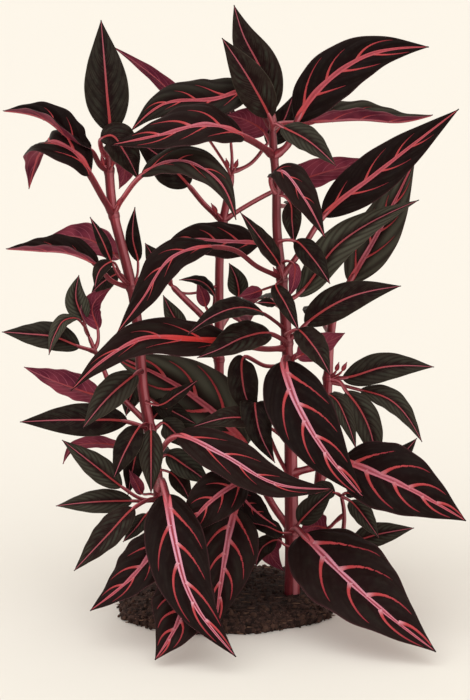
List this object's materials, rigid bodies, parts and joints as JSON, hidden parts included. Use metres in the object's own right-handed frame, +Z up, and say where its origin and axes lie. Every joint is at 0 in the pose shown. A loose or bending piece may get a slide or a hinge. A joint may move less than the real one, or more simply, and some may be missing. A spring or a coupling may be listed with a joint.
{
  "type": "bloodleaf plant",
  "caption": "Bushy bloodleaf plant with crimson stems and dark lance-shaped leaves, upright in a low ragged mound of soil.",
  "frame": {"origin": "on the soil mound's flat underside, 12 mm before its middle", "axes": "+Z up along the stems, -Y towards the side that the picture shows, +X to that picture's right"},
  "size_m": [0.3221, 0.253, 0.4267],
  "materials": {
    "bloodleaf": "satin",
    "soil": "matte"
  },
  "bodies": {
    "root": {"soil_mound": "soil", "left_leafy_stem": "bloodleaf", "centre_leafy_stem": "bloodleaf", "main_leafy_stem": "bloodleaf", "right_leafy_stem": "bloodleaf"}
  },
  "joints": []
}
